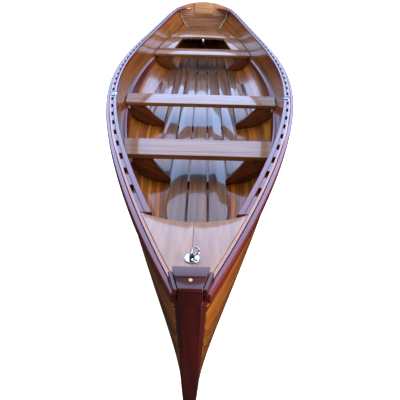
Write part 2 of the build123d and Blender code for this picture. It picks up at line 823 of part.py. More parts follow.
def board_pitch():
    """From one floorboard to the next, so that all of them cover the floor."""
    return (FLOOR_SPREAD * BEAM / 2 + BOARD_GAP / 2) / (BOARD_PAIRS + 0.5)


def board_edges(pair):
    """Inner and outer edge of a floorboard, counted out from the middle one."""
    half = (board_pitch() - BOARD_GAP) / 2
    middle = pair * board_pitch()
    return middle - half, middle + half


def frame_foot(pairs):
    return board_edges(pairs)[1] + FRAME_FOOT_GAP


FRAMES = [("forward", FORWARD_THWART, 1), ("middle", MIDDLE_THWART, 2), ("stern", BENCH_FRONT, 2)]


def skin_for_frame(s):
    """The inside of the planking at the narrower face of a frame, with room for bedding."""
    faces = zip(inner_skin(s), inner_skin(s + FRAME_THICKNESS))
    return [(min(near[0], far[0]) - BEDDING, max(near[1], far[1]) + BEDDING) for near, far in faces]


def half_frames():
    """Sawn frames: each runs out from the keelson under the floor and up to the riser."""
    floor = FLOOR_TOP - BOARD_THICKNESS
    for name, seat, pairs in FRAMES:
        s = seat + FRAME_SETBACK
        foot = frame_foot(pairs)
        top = riser_top(s) - 0.6
        under_riser = riser_top(s) - RISER_DEPTH - 1.5
        skin = skin_for_frame(s)
        back = s + FRAME_THICKNESS
        inner_riser = min(half_inside(s, top - RISER_DEPTH), half_inside(back, top - RISER_DEPTH))
        inner_riser -= RISER_THICKNESS + 2 * BEDDING
        along_skin = [(x, z) for x, z in skin if x > KEELSON_WIDTH / 2 + 2 and z < under_riser - 2]
        start_x = KEELSON_WIDTH / 2 + 1
        head = inner_riser - FRAME_TOP_WIDTH
        points = [(inner_riser, top), (inner_riser, under_riser)]
        widest = min(half_inside(s, under_riser), half_inside(back, under_riser))
        points.append((widest - 2 * BEDDING, under_riser))
        points += along_skin
        low = FLOOR_TOP + FRAME_FOOT_RISE
        points += [(start_x, height_inside(s, start_x) + BEDDING), (start_x, floor - 0.2),
                   (foot, floor - 0.2), (foot, low)]
        y = s - LENGTH / 2
        across = head - foot
        rise = top - low
        mid_x = foot + across / 2 + FRAME_HOLLOW * rise
        mid_z = low + rise / 2 - FRAME_HOLLOW * across
        curve = ThreePointArc((foot, y, low), (mid_x, y, mid_z), (head, y, top))
        straight = Polyline([(head, y, top)] + [(x, y, z) for x, z in points])
        face = make_face(Wire([curve] + straight.edges()))
        port_and_starboard(f"{name}_frame", extrude(face, FRAME_THICKNESS, dir=(0, 1, 0)))


def board_outline(pair, start, end):
    """A floorboard's plan, its outer edge trimmed to the planking where the hull narrows."""
    inner, outer = board_edges(pair)
    under = FLOOR_TOP - BOARD_THICKNESS
    step = 60.0
    count = round((end - start) / step)
    edge = []
    for i in range(count + 1):
        s = start + (end - start) * i / count
        width = min(outer, half_inside(s, under) - BOARD_EDGE_GAP)
        if width - inner >= NARROWEST_BOARD:
            edge.append((width, s))
    kept = [edge[0]]
    for before, here, after in zip(edge, edge[1:], edge[2:]):
        if not before[0] == here[0] == after[0]:
            kept.append(here)
    kept.append(edge[-1])
    return kept + [(inner, edge[-1][1]), (inner, edge[0][1])]


def floorboards():
    """Slats laid fore and aft on the frames, more of them where the boat is wider."""
    def board(outline):
        face = polygon([(x, s - LENGTH / 2, FLOOR_TOP) for x, s in outline])
        return extrude(face, BOARD_THICKNESS, dir=(0, 0, -1))

    low, high = board_edges(0)
    middle = [(high, BOARD_START), (high, BOARD_END), (low, BOARD_END), (low, BOARD_START)]
    write("floorboard_middle", board(middle))
    behind = FRAME_SETBACK + FRAME_THICKNESS + FRAME_FOOT_GAP
    after_forward = FORWARD_THWART + behind
    after_middle = MIDDLE_THWART + behind
    before_stern = BENCH_FRONT - FRAME_FOOT_GAP
    spans = [(BOARD_START, BOARD_END), (after_forward, BOARD_END), (after_middle, before_stern),
             (after_middle + 60, before_stern)]
    for pair, (start, end) in enumerate(spans, 1):
        port_and_starboard(f"floorboard_{pair}", board(board_outline(pair, start, end)))


# ================= stern =================

def transom_point(x, z, forward):
    """A point on the transom's raked plane, or a distance forward of it."""
    rake = radians(TRANSOM_RAKE)
    lean = tan(rake) * (z - transom_top())
    return (x, LENGTH / 2 + lean - forward * cos(rake), z + forward * sin(rake))


def transom():
    """A raked board inside the planking, crowned on top."""
    skin = [(x - BEDDING, z + BEDDING) for x, z in inner_skin(LENGTH)[1:]]
    top = sheer_height(LENGTH) - 0.5
    corner = inner_skin(LENGTH)[0][0] - BEDDING
    side = [(corner, top)] + skin
    outline = side + [(-x, z) for x, z in side[::-1]]
    edges = Polyline([transom_point(x, z, 0) for x, z in outline])
    crown = ThreePointArc(transom_point(-corner, top, 0), transom_point(0, transom_top(), 0),
                          transom_point(corner, top, 0))
    face = make_face(Wire(edges.edges() + [crown]))
    rake = radians(TRANSOM_RAKE)
    board = extrude(face, TRANSOM_THICKNESS, dir=(0, -cos(rake), sin(rake)))
    write("transom", board)


def motor_pad():
    """A block for an outboard's clamp, fixed to the inside of the transom."""
    half = PAD_WIDTH / 2
    top = transom_top() - PAD_TOP_GAP
    gap = TRANSOM_THICKNESS + BEDDING / 4
    corners = [(-half, top - PAD_HEIGHT), (half, top - PAD_HEIGHT), (half, top), (-half, top)]
    face = polygon([transom_point(x, z, gap) for x, z in corners])
    rake = radians(TRANSOM_RAKE)
    write("motor_pad", extrude(face, PAD_THICKNESS, dir=(0, -cos(rake), sin(rake))))


def quarter_knees():
    """Knees that tie the inwales to the transom, hollowed on the inside."""
    inboard = PLANK + SLOT_WIDTH + INWALE_WIDTH + 0.6
    stop = rail_end() - tan(radians(TRANSOM_RAKE)) * KNEE_THICKNESS
    start = stop - KNEE_ARM
    top = sheer_height(start) + 1
    ahead = rail_point(start, inboard, 0)
    corner = rail_point(stop, inboard, 0)
    y_stop = corner[1]
    across = (corner[0] - KNEE_REACH * (corner[0] - PAD_WIDTH / 2), y_stop)
    middle = ((ahead[0] + across[0]) / 2, (ahead[1] + across[1]) / 2)
    hollow = [m + KNEE_HOLLOW * (c - m) for m, c in zip(middle, corner)]
    curve = ThreePointArc((across[0], across[1], top), (hollow[0], hollow[1], top), (ahead[0], ahead[1], top))
    straight = Polyline((ahead[0], ahead[1], top), (corner[0], y_stop, top), (across[0], across[1], top))
    face = make_face(Wire([curve] + straight.edges()))
    port_and_starboard("quarter_knee", extrude(face, KNEE_THICKNESS, dir=(0, 0, -1)))


if __name__ == "__main__":
    planking()
    outer_stem()
    inner_stem()
    keel()
    skeg()
    keelson()
    stem_head()
    stem_cheeks()
    foredeck()
    deck_beam()
    bow_eye()
    bow_ring()
    outwale()
    inwale()
    gunwale_spacers()
    oarlock_sockets()
    riser()
    thwart("forward_thwart", FORWARD_THWART)
    thwart("middle_thwart", MIDDLE_THWART)
    stern_bench()
    half_frames()
    floorboards()
    transom()
    motor_pad()
    quarter_knees()
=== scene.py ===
import random
from functools import lru_cache
from math import comb, cos, hypot, pi, radians, sqrt, tan

import bmesh
import bpy
from mathutils import Matrix, Vector


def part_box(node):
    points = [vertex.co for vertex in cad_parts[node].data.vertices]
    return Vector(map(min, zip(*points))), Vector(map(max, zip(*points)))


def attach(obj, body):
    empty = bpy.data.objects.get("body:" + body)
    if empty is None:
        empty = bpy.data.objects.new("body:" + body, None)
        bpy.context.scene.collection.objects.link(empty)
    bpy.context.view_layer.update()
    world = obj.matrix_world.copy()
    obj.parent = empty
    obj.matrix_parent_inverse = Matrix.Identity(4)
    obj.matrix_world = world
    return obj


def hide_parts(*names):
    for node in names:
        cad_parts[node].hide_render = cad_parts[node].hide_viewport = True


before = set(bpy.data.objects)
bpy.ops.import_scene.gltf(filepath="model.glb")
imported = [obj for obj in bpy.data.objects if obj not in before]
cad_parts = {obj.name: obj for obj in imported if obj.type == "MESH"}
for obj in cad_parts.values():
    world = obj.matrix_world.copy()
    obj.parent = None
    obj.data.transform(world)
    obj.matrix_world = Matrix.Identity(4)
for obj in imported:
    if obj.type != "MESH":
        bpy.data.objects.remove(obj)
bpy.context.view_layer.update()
random.seed(5)


# ======================================================================================
# The studio. The boat stands on its keel on a white floor, under a soft sky and a wide
# panel. A warm panel stands off the port bow. A cool one, high astern, only shines in the varnish.
# ======================================================================================

EYE_PLACE = (0.014, -3.012, 1.188)
EYE_DIP = 35.64
EYE_ROLL = 1.50
LENS = 31.08
SKY_WHITE = (1.0, 0.985, 0.97)
SKY_STRENGTH = 0.50         # of the light it gives
SKY_MIRRORED = 0.015        # how much of it the varnish mirrors
BACKGROUND_GLOW = 1.04      # of the white that is seen behind the boat
WARM_POWER = 480
OVERHEAD_POWER = 250
COOL_POWER = 2500
FLOOR_HALF = 60.0


def node(tree, kind, sockets=None, **settings):
    """A shader node with its settings, and with values or links put on its sockets."""
    made = tree.nodes.new(kind)
    for setting, value in settings.items():
        setattr(made, setting, value)
    for name, value in (sockets or {}).items():
        if isinstance(value, bpy.types.NodeSocket):
            tree.links.new(value, made.inputs[name])
        else:
            made.inputs[name].default_value = value
    return made


def shown(red, green, blue):
    """A linear colour from the three values it has on a screen."""
    values = [c / 255 for c in (red, green, blue)]
    return tuple([c / 12.92 if c < 0.04 else ((c + 0.055) / 1.055) ** 2.4 for c in values] + [1.0])


def new_material(name):
    material = bpy.data.materials.new(name)
    material.use_nodes = True
    tree = material.node_tree
    tree.nodes.clear()
    shader = node(tree, "ShaderNodeBsdfPrincipled")
    node(tree, "ShaderNodeOutputMaterial", {"Surface": shader.outputs["BSDF"]})
    return material, tree, shader


def panel(name, place, aim, width, height, power, colour):
    """A soft rectangular light that faces a point."""
    light = bpy.data.lights.new(name, "AREA")
    light.shape = "RECTANGLE"
    light.size = width
    light.size_y = height
    light.energy = power
    light.color = colour
    held = bpy.data.objects.new(name, light)
    held.location = place
    held.rotation_euler = (Vector(aim) - Vector(place)).to_track_quat("-Z", "Y").to_euler()
    bpy.context.scene.collection.objects.link(held)
    return held


camera = bpy.data.objects.new("camera", bpy.data.cameras.new("camera"))
camera.data.lens = LENS
camera.data.sensor_width = 36.0
camera.data.clip_end = 200.0
camera.matrix_world = (Matrix.Translation(EYE_PLACE) @ Matrix.Rotation(radians(90 - EYE_DIP), 4, "X")
                       @ Matrix.Rotation(radians(EYE_ROLL), 4, "Z"))
bpy.context.scene.collection.objects.link(camera)
bpy.context.scene.camera = camera
bpy.context.scene.view_settings.view_transform = "Standard"

world = bpy.data.worlds.new("studio_sky")
world.use_nodes = True
world.node_tree.nodes.clear()
rays = node(world.node_tree, "ShaderNodeLightPath")


def white(strength):
    return node(world.node_tree, "ShaderNodeBackground", {"Color": SKY_WHITE + (1.0,), "Strength": strength})


unseen = node(world.node_tree, "ShaderNodeMixShader", {0: rays.outputs["Is Glossy Ray"],
                                                       1: white(SKY_STRENGTH).outputs[0],
                                                       2: white(SKY_MIRRORED).outputs[0]})
either = node(world.node_tree, "ShaderNodeMixShader", {0: rays.outputs["Is Camera Ray"],
                                                       1: unseen.outputs[0],
                                                       2: white(BACKGROUND_GLOW).outputs[0]})
node(world.node_tree, "ShaderNodeOutputWorld", {"Surface": either.outputs[0]})
bpy.context.scene.world = world

panel("warm_panel", (5.0, -3.4, 1.0), (0, -1.6, 0.3), 3.0, 2.4, WARM_POWER, (1.0, 0.88, 0.68))
overhead = panel("top_panel", (0.6, 0.8, 5.0), (0, 0.8, 0), 5.0, 7.0, OVERHEAD_POWER, (1.0, 0.98, 0.94))
overhead.visible_glossy = False
mirrored = panel("cool_panel", (0.0, 6.5, 7.5), (0, -1.5, 0.3), 20.0, 13.0, COOL_POWER, (0.40, 0.58, 0.98))
mirrored.visible_diffuse = False
mirrored.visible_camera = False

floor_material, tree, shader = new_material("white_floor")
cloud = node(tree, "ShaderNodeTexNoise", {"Vector": node(tree, "ShaderNodeTexCoord").outputs["Object"],
                                          "Scale": 0.8, "Detail": 4.0})
ramp = node(tree, "ShaderNodeValToRGB", {"Fac": cloud.outputs["Fac"]})
ramp.color_ramp.elements[0].color = shown(247, 247, 249)
ramp.color_ramp.elements[1].color = shown(253, 253, 253)
tree.links.new(ramp.outputs["Color"], shader.inputs["Base Color"])
shader.inputs["Roughness"].default_value = 0.85
shader.inputs["Specular IOR Level"].default_value = 0.0
shader.inputs["Emission Color"].default_value = (1.0, 1.0, 1.0, 1.0)
shader.inputs["Emission Strength"].default_value = BACKGROUND_GLOW
bm = bmesh.new()
bmesh.ops.create_grid(bm, x_segments=4, y_segments=4, size=FLOOR_HALF)
floor_mesh = bpy.data.meshes.new("floor")
bm.to_mesh(floor_mesh)
bm.free()
floor_mesh.materials.append(floor_material)
floor = bpy.data.objects.new("floor", floor_mesh)
bpy.context.scene.collection.objects.link(floor)
floor.visible_glossy = False
floor.visible_diffuse = False


# ======================================================================================
# Keel, stem and skeg: the backbone, sawn and planed from dark red mahogany, its edges
# eased with a plane before varnishing. The keelson and the apron lie inside it.
# ======================================================================================

STEM_CURVE = 0.300
STEM_EASE = 0.0035
KEEL_EASE = 0.002
MAHOGANY_DARK = (44, 12, 14)
MAHOGANY_LIGHT = (98, 26, 22)
LOG_SHIFT = (2.0, 40.0)     # how far apart in its log each piece's grain is taken from


def wood_grain_group():
    """Long figure, broad streaks and fine pores, from a coordinate whose X runs along the grain."""
    group = bpy.data.node_groups.new("wood_grain", "ShaderNodeTree")
    socket = group.interface.new_socket
    socket("Grain", in_out="INPUT", socket_type="NodeSocketVector")
    socket("Ring Scale", in_out="INPUT", socket_type="NodeSocketFloat")
    for name in ("Figure", "Streaks", "Pores"):
        socket(name, in_out="OUTPUT", socket_type="NodeSocketFloat")
    given = group.nodes.new("NodeGroupInput")
    result = group.nodes.new("NodeGroupOutput")

    def stretched(share):
        return node(group, "ShaderNodeVectorMath", {0: given.outputs["Grain"], 1: (share, 1.0, 1.0)},
                    operation="MULTIPLY").outputs["Vector"]

    rings = node(group, "ShaderNodeTexNoise", {"Vector": stretched(0.07),
                                               "Scale": given.outputs["Ring Scale"],
                                               "Detail": 2.0, "Roughness": 0.45, "Distortion": 0.5})
    many = node(group, "ShaderNodeMath", {0: rings.outputs["Fac"], 1: 9.0}, operation="MULTIPLY")
    figure = node(group, "ShaderNodeMath", {0: many.outputs[0], 1: 0.5}, operation="PINGPONG")
    doubled = node(group, "ShaderNodeMath", {0: figure.outputs[0], 1: 2.0}, operation="MULTIPLY")
    streaks = node(group, "ShaderNodeTexNoise", {"Vector": stretched(0.03), "Scale": 60.0, "Detail": 4.0})
    pores = node(group, "ShaderNodeTexNoise", {"Vector": stretched(0.05), "Scale": 700.0, "Detail": 3.0})
    group.links.new(doubled.outputs[0], result.inputs["Figure"])
    group.links.new(streaks.outputs["Fac"], result.inputs["Streaks"])
    group.links.new(pores.outputs["Fac"], result.inputs["Pores"])
    return group


WOOD_GRAIN = wood_grain_group()


def varnished(name, dark, light, ring_scale=14.0, figure=0.35, gloss=0.06, tones=None):
    """Wood under gloss varnish: the figure and streaks choose between a dark and a light tone."""
    material, tree, shader = new_material(name)
    coordinate = node(tree, "ShaderNodeAttribute", attribute_name="grain").outputs["Vector"]
    grain = node(tree, "ShaderNodeGroup", node_tree=WOOD_GRAIN)
    tree.links.new(coordinate, grain.inputs["Grain"])
    grain.inputs["Ring Scale"].default_value = ring_scale
    spread = node(tree, "ShaderNodeMath", {0: grain.outputs["Streaks"], 1: 1.9, 2: -0.45},
                  operation="MULTIPLY_ADD", use_clamp=True)
    ringed = node(tree, "ShaderNodeMath", {0: grain.outputs["Figure"], 1: figure, 2: -figure / 2},
                  operation="MULTIPLY_ADD")
    tone = node(tree, "ShaderNodeMath", {0: spread.outputs[0], 1: ringed.outputs[0]}, operation="ADD")
    fine = node(tree, "ShaderNodeMath", {0: grain.outputs["Pores"], 1: 0.5, 2: -0.25},
                operation="MULTIPLY_ADD")
    total = node(tree, "ShaderNodeMath", {0: tone.outputs[0], 1: fine.outputs[0]},
                 operation="ADD", use_clamp=True)
    colours = node(tree, "ShaderNodeValToRGB", {"Fac": total.outputs[0]})
    colours.color_ramp.elements[0].color = shown(*dark)
    colours.color_ramp.elements[1].color = shown(*light)
    colour = colours.outputs["Color"]
    if tones:
        colour = tones(tree, colour)
    tree.links.new(colour, shader.inputs["Base Color"])
    bump = node(tree, "ShaderNodeBump", {"Height": grain.outputs["Pores"], "Strength": 0.12,
                                         "Distance": 0.0004})
    tree.links.new(bump.outputs["Normal"], shader.inputs["Normal"])
    rough = node(tree, "ShaderNodeMath", {0: grain.outputs["Streaks"], 1: 0.2, 2: 0.25},
                 operation="MULTIPLY_ADD")
    tree.links.new(rough.outputs[0], shader.inputs["Roughness"])
    shader.inputs["Coat Weight"].default_value = 1.0
    shader.inputs["Coat Roughness"].default_value = gloss
    return material


def finished(name, bm, material, body="hull", stands_for=(), smooth=35.0, more=()):
    """Turn a bmesh into a named piece that rides with its body."""
    mesh = bpy.data.meshes.new(name)
    bm.to_mesh(mesh)
    bm.free()
    mesh.polygons.foreach_set("use_smooth", [True] * len(mesh.polygons))
    mesh.set_sharp_from_angle(angle=radians(smooth))
    for each in (material, *more):
        mesh.materials.append(each)
    piece = bpy.data.objects.new(name, mesh)
    bpy.context.scene.collection.objects.link(piece)
    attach(piece, body)
    if stands_for:
        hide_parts(*stands_for)
    return piece


def eased(cad_node, name, ease, run, material, body="hull", segments=2, sharp_angle=30.0, flat=0.6):
    """A piece with the shape of a CAD node, its edges eased and its grain running along a direction."""
    bm = bmesh.new()
    bm.from_mesh(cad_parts[cad_node].data)
    bmesh.ops.remove_doubles(bm, verts=bm.verts, dist=0.00002)
    bmesh.ops.dissolve_limit(bm, angle_limit=radians(flat), verts=bm.verts, edges=bm.edges)
    folded = [e for e in bm.edges if len(e.link_faces) == 2]
    sharp = [e for e in folded if e.calc_face_angle() > radians(sharp_angle)]
    bmesh.ops.bevel(bm, geom=sharp, offset=ease, segments=segments, affect="EDGES", profile=0.5,
                    material=-1, clamp_overlap=True)
    layer = bm.verts.layers.float_vector.new("grain")
    along = Vector(run).normalized()
    across = along.orthogonal().normalized()
    deep = along.cross(across)
    shift = random.uniform(*LOG_SHIFT)
    for v in bm.verts:
        v[layer] = (v.co.dot(along) + shift, v.co.dot(across) + shift, v.co.dot(deep))
    return finished(name, bm, material, body, [cad_node])


MAHOGANY = varnished("dark_mahogany", MAHOGANY_DARK, MAHOGANY_LIGHT)
eased("keel", "keel_timber", KEEL_EASE, (0, 1, 0), MAHOGANY)
eased("skeg", "skeg_timber", KEEL_EASE, (0, 1, 0), MAHOGANY)
eased("outer_stem", "stem_timber", STEM_EASE, (0, 0, 1), MAHOGANY,
      segments=3, sharp_angle=40)
eased("inner_stem", "apron_timber", KEEL_EASE, (0, 0, 1), MAHOGANY)
eased("keelson", "keelson_timber", KEEL_EASE, (0, 1, 0), MAHOGANY)


# ======================================================================================
# Planking: narrow cedar strips of mixed tone, glued edge to edge over moulds in strakes,
# with a dark and pale inlaid strip below the sheer. The sheer's edge is planed level.
# ======================================================================================

LENGTH = 5.180
BEAM = 1.270
MID_SHEER = 0.480
BOW_RISE = 0.181
STERN_RISE = 0.076
LOW_POINT = 0.57
STEM_DEPTH = 0.030
STEM_BACK_WIDTH = 0.072
KEEL_WIDTH = 0.030
KEEL_DEPTH = 0.030
TUCK_START = 0.82
TUCK_RISE = 0.110
RAKE = radians(12.0)
RAKE_START = 0.75           # where the sections start to lean to the transom, of the length
CROWN = 0.062
PLANK = 0.008
STRIP = 0.030
SHEER_STRAKE = 0.062
FEATURE_STRIP = 0.008
LOWER_STRAKES = 4
GLUE_LINE = 0.0006
OUTWALE_WIDTH = 0.017
PLANK_CUTS = 92
SECTION_STEPS = 80
FOREFOOT_SHARE = 0.14       # share of the cuts that go round the forefoot


def fair(controls, share):
    """A fair curve from a few control values, at a share of its length."""
    n = len(controls) - 1
    return sum(comb(n, i) * share**i * (1 - share)**(n - i) * c for i, c in enumerate(controls))


def along(s):
    return (s - STEM_DEPTH) / (LENGTH - STEM_DEPTH)


def sheer_height(s):
    low = LOW_POINT * LENGTH
    if s < low:
        return MID_SHEER + BOW_RISE * ((low - s) / low)**2
    return MID_SHEER + STERN_RISE * ((s - low) / (LENGTH - low))**2


def sheer_half(s):
    """Half breadth at the sheer, to the outside of the planking."""
    hull_half = BEAM / 2 - OUTWALE_WIDTH
    shares = [0.698, 0.948, 1.465, 0.661, 0.960, 0.563]
    return fair([STEM_BACK_WIDTH / 2] + [hull_half * c for c in shares], along(s))


def rabbet_height(s):
    """Height of the lower edge of the planking: up the stem, along the keel, up the tuck."""
    radius = STEM_CURVE - STEM_DEPTH
    height = KEEL_DEPTH
    if s < STEM_CURVE:
        height += radius - sqrt(max(radius**2 - (STEM_CURVE - s)**2, 0))
    if s > TUCK_START * LENGTH:
        height += TUCK_RISE * ((s / LENGTH - TUCK_START) / (1 - TUCK_START))**2
    return height


def tilt(s):
    """How far forward the foot of a section leans, so that the transom is raked."""
    share = max(0.0, (s / LENGTH - RAKE_START) / (1 - RAKE_START))
    return tan(RAKE) * share * share * (3 - 2 * share)


@lru_cache(maxsize=None)
def section_curve(s):
    """Outside of the planking from the sheer to the rabbet, as close points (x, z)."""
    share = along(s)
    bottom = rabbet_height(s)
    top = sheer_height(s)
    half = sheer_half(s)
    stem_share = max(bottom - KEEL_DEPTH, 0) / (MID_SHEER + BOW_RISE - KEEL_DEPTH)
    foot = KEEL_WIDTH / 2
    if s < LENGTH / 2:
        foot += (STEM_BACK_WIDTH - KEEL_WIDTH) / 2 * stem_share
    grow = half - foot
    rise = top - bottom
    x_controls = [foot,
                  foot + grow * fair([0.17, 1.23, 1.02, 1.00, 1.35, 0.20], share),
                  foot + grow * fair([1.02, 0.74, 1.05, 1.05, 1.18, 0.98], share), half]
    z_controls = [bottom,
                  bottom + rise * fair([0.20, 0.0, 0.0, 0.0, 0.0, 0.12], share),
                  bottom + rise * fair([0.61, -0.04, 0.14, 0.14, 0.06, 0.38], share), top]
    shares = [1 - i / SECTION_STEPS for i in range(SECTION_STEPS + 1)]
    return [(fair(x_controls, part), fair(z_controls, part)) for part in shares]


@lru_cache(maxsize=None)
def girth(s):
    curve = section_curve(s)
    return sum(hypot(x1 - x0, z1 - z0) for (x0, z0), (x1, z1) in zip(curve, curve[1:]))


def walk(s, distance):
    """The point on a section at a distance below the sheer, with the direction there."""
    curve = section_curve(s)
    left = distance
    for (x0, z0), (x1, z1) in zip(curve, curve[1:]):
        step = hypot(x1 - x0, z1 - z0)
        if left <= step:
            break
        left -= step
    share = left / step
    return x0 + (x1 - x0) * share, z0 + (z1 - z0) * share, (x1 - x0) / step, (z1 - z0) / step


def on_hull(s, below, inward):
    """A point of the planking: along the boat, down from the sheer, in from the outside."""
    x, z, dx, dz = walk(s, below)
    planed = max(0.0, 1 - below / (2 * PLANK)) if inward > 0 else 0.0
    x += inward * (dz + planed * (1 / dz - dz))
    z -= inward * dx * (1 - planed)
    lean = tilt(s) * (z - sheer_height(LENGTH) - CROWN)
    return Vector((x, s - LENGTH / 2 + lean, z))


def plank_station(share):
    """Stations close together round the forefoot, then evenly spaced."""
    if share < FOREFOOT_SHARE:
        return STEM_DEPTH + (STEM_CURVE - STEM_DEPTH) * (1 - cos(pi / 2 * share / FOREFOOT_SHARE))
    return STEM_CURVE + (LENGTH - STEM_CURVE) * (share - FOREFOOT_SHARE) / (1 - FOREFOOT_SHARE)


def squared_bar(width, depth, cuts, ease=0.0, rows=0, segments=2):
    """A bar one unit long with its long edges eased, cut across so that it can be bent."""
    bm = bmesh.new()
    bmesh.ops.create_cube(bm, size=1.0)
    bmesh.ops.translate(bm, verts=bm.verts, vec=(0.5, 0.5, 0.5))
    bmesh.ops.scale(bm, verts=bm.verts, vec=(1.0, width, depth))

    def edges_along(axis):
        found = []
        for e in bm.edges:
            run = e.verts[1].co - e.verts[0].co
            if abs(run[axis]) > 0.9 * run.length:
                found.append(e)
        return found

    if ease:
        bmesh.ops.bevel(bm, geom=edges_along(0), offset=ease, segments=segments, affect="EDGES",
                        profile=0.5, material=-1)
    if rows:
        longest = max(e.calc_length() for e in edges_along(2))
        tall = [e for e in edges_along(2) if e.calc_length() > 0.9 * longest]
        bmesh.ops.subdivide_edges(bm, edges=tall, cuts=rows, use_grid_fill=True)
    bmesh.ops.subdivide_edges(bm, edges=edges_along(0), cuts=cuts, use_grid_fill=True)
    return bm


def bent(bm, place, length, side=1):
    """Bend a straight bar into place, keeping its straight coordinates for the grain."""
    layer = bm.verts.layers.float_vector.new("grain")
    shift = random.uniform(*LOG_SHIFT)
    for v in bm.verts:
        v[layer] = (v.co.x * length + shift, v.co.y + shift, v.co.z)
        p = place(*v.co)
        v.co = (p[0] * side, p[1], p[2])
    bmesh.ops.recalc_face_normals(bm, faces=bm.faces)
    return bm


SIDES = (("port", 1), ("starboard", -1))
AMBER_DARK = (126, 60, 16)
AMBER_LIGHT = (216, 132, 40)
INSIDE_DARK = (124, 70, 20)
INSIDE_LIGHT = (206, 136, 54)
STRIP_DARK = (0.50, 0.40, 0.34, 1.0)
STRIP_LIGHT = (1.18, 1.16, 1.10, 1.0)
STRIP_REDDER = (1.08, 0.92, 0.80, 1.0)
STRIP_GREENER = (0.94, 1.06, 1.0, 1.0)
OUTSIDE_GLOSS = 0.05        # roughness of the varnish, which is thinner and duller inside
INSIDE_GLOSS = 0.15
SEAM_SHARE = 0.475          # from the middle of a strip to its glue line, of its width
TOP_EDGE = 0.0001


def strip_tone_group():
    """A tone for each strip and a mask for the glue line between strips."""
    group = bpy.data.node_groups.new("strip_tones", "ShaderNodeTree")
    socket = group.interface.new_socket
    socket("Grain", in_out="INPUT", socket_type="NodeSocketVector")
    socket("Strip", in_out="INPUT", socket_type="NodeSocketFloat")
    for name in ("Tone", "Hue", "Seam"):
        socket(name, in_out="OUTPUT", socket_type="NodeSocketFloat")
    given = group.nodes.new("NodeGroupInput")
    result = group.nodes.new("NodeGroupOutput")
    parts = node(group, "ShaderNodeSeparateXYZ", {0: given.outputs["Grain"]})
    # Held just inside the strake, so that a face on its edge doesn't fall in the next strip.
    clear = node(group, "ShaderNodeMath", {0: parts.outputs["Z"], 1: 0.998, 2: 0.00003},
                 operation="MULTIPLY_ADD")
    count = node(group, "ShaderNodeMath", {0: clear.outputs[0], 1: given.outputs["Strip"]},
                 operation="DIVIDE")
    whole = node(group, "ShaderNodeMath", {0: count.outputs[0]}, operation="FLOOR")
    which = node(group, "ShaderNodeMath", {0: parts.outputs["Y"], 1: 10.0}, operation="MULTIPLY")
    board = node(group, "ShaderNodeMath", {0: which.outputs[0]}, operation="FLOOR")
    key = node(group, "ShaderNodeCombineXYZ", {"X": whole.outputs[0], "Y": board.outputs[0]})
    chance = node(group, "ShaderNodeTexWhiteNoise", {"Vector": key.outputs[0]}, noise_dimensions="3D")
    split = node(group, "ShaderNodeSeparateXYZ", {0: chance.outputs["Color"]})
    share = node(group, "ShaderNodeMath", {0: count.outputs[0]}, operation="FRACT")
    near = node(group, "ShaderNodeMath", {0: share.outputs[0], 1: 0.5}, operation="SUBTRACT")
    far = node(group, "ShaderNodeMath", {0: near.outputs[0]}, operation="ABSOLUTE")
    seam = node(group, "ShaderNodeMath", {0: far.outputs[0], 1: SEAM_SHARE}, operation="GREATER_THAN")
    group.links.new(split.outputs["X"], result.inputs["Tone"])
    group.links.new(split.outputs["Y"], result.inputs["Hue"])
    group.links.new(seam.outputs[0], result.inputs["Seam"])
    return group


STRIP_TONES = strip_tone_group()


def strip_tones(tree, colour):
    """Tint each strip darker, lighter, redder or greener than its neighbour."""
    strips = node(tree, "ShaderNodeGroup", node_tree=STRIP_TONES)
    tree.links.new(node(tree, "ShaderNodeAttribute", attribute_name="grain").outputs["Vector"],
                   strips.inputs["Grain"])
    strips.inputs["Strip"].default_value = STRIP
    tones = node(tree, "ShaderNodeValToRGB", {"Fac": strips.outputs["Tone"]})
    tones.color_ramp.elements[0].color = STRIP_DARK
    tones.color_ramp.elements[1].color = STRIP_LIGHT
    toned = node(tree, "ShaderNodeMix", {0: 1.0, 6: colour, 7: tones.outputs["Color"]},
                 data_type="RGBA", blend_type="MULTIPLY")
    hues = node(tree, "ShaderNodeValToRGB", {"Fac": strips.outputs["Hue"]})
    hues.color_ramp.elements[0].color = STRIP_REDDER
    hues.color_ramp.elements[1].color = STRIP_GREENER
    hued = node(tree, "ShaderNodeMix", {0: 1.0, 6: toned.outputs[2], 7: hues.outputs["Color"]},
                data_type="RGBA", blend_type="MULTIPLY")
    dark = node(tree, "ShaderNodeMix", {0: strips.outputs["Seam"], 6: hued.outputs[2],
                                        7: shown(52, 24, 10)}, data_type="RGBA")
    return dark.outputs[2]


PALE_SHARE = 0.40           # how much of the inlaid strip is pale
PALE_LINE = (226, 150, 60)


def inlay_tones(tree, colour):
    """A pale line above a dark one, in the inlaid strip."""
    parts = node(tree, "ShaderNodeSeparateXYZ",
                 {0: node(tree, "ShaderNodeAttribute", attribute_name="grain").outputs["Vector"]})
    low = node(tree, "ShaderNodeMath", {0: parts.outputs["Z"], 1: FEATURE_STRIP * PALE_SHARE},
               operation="GREATER_THAN")
    return node(tree, "ShaderNodeMix", {0: low.outputs[0], 6: shown(*PALE_LINE), 7: colour},
                data_type="RGBA").outputs[2]


CEDAR_STRIPS = varnished("cedar_strips", AMBER_DARK, AMBER_LIGHT, figure=0.30, gloss=OUTSIDE_GLOSS,
                         tones=strip_tones)
INSIDE_STRIPS = varnished("cedar_strips_inside", INSIDE_DARK, INSIDE_LIGHT, figure=0.30,
                          gloss=INSIDE_GLOSS, tones=strip_tones)
INLAY = varnished("inlaid_strip", (34, 12, 10), (70, 26, 18), tones=inlay_tones)
# The planed top edge of the strakes: its pale, lilac-tinted colour is a painted reflection of the sky on an
# upward-facing face, not the cedar's own colour.
PAINTED_SKY_SHEEN_EDGE = varnished("cedar_edge_with_painted_sky_sheen", (164, 106, 86), (204, 150, 130), figure=0.2, gloss=INSIDE_GLOSS)


